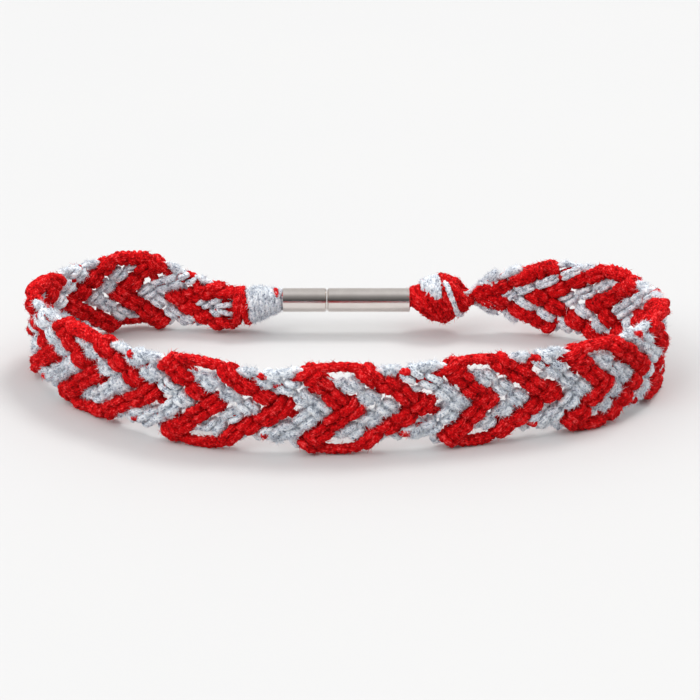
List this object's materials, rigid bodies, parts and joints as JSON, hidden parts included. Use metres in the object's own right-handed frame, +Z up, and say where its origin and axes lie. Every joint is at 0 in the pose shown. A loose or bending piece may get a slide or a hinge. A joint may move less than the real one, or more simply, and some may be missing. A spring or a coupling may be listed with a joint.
{
  "type": "friendship bracelet",
  "caption": "Flat knotted yarn band with hearts in chevrons, closed into a loop by a short two-part tube clasp between wound ends.",
  "frame": {"origin": "middle of the box round the bracelet, at the surface it stands on", "axes": "+X along the loop's longer side and the clasp, +Y from the front of the band towards the clasp at the back, +Z up along the width of the band"},
  "size_m": [0.0738, 0.0382, 0.0104],
  "materials": {
    "yarn_red": "matt, fuzzy wool yarn",
    "yarn_grey": "matt, fuzzy marled wool yarn",
    "clasp_metal": "polished silver-coloured tube"
  },
  "bodies": {
    "root": {"knotted_band": "yarn_red", "wrap_left": "yarn_grey", "wrap_right": "yarn_red", "clasp_short_half": "clasp_metal", "clasp_long_half": "clasp_metal"}
  },
  "joints": []
}
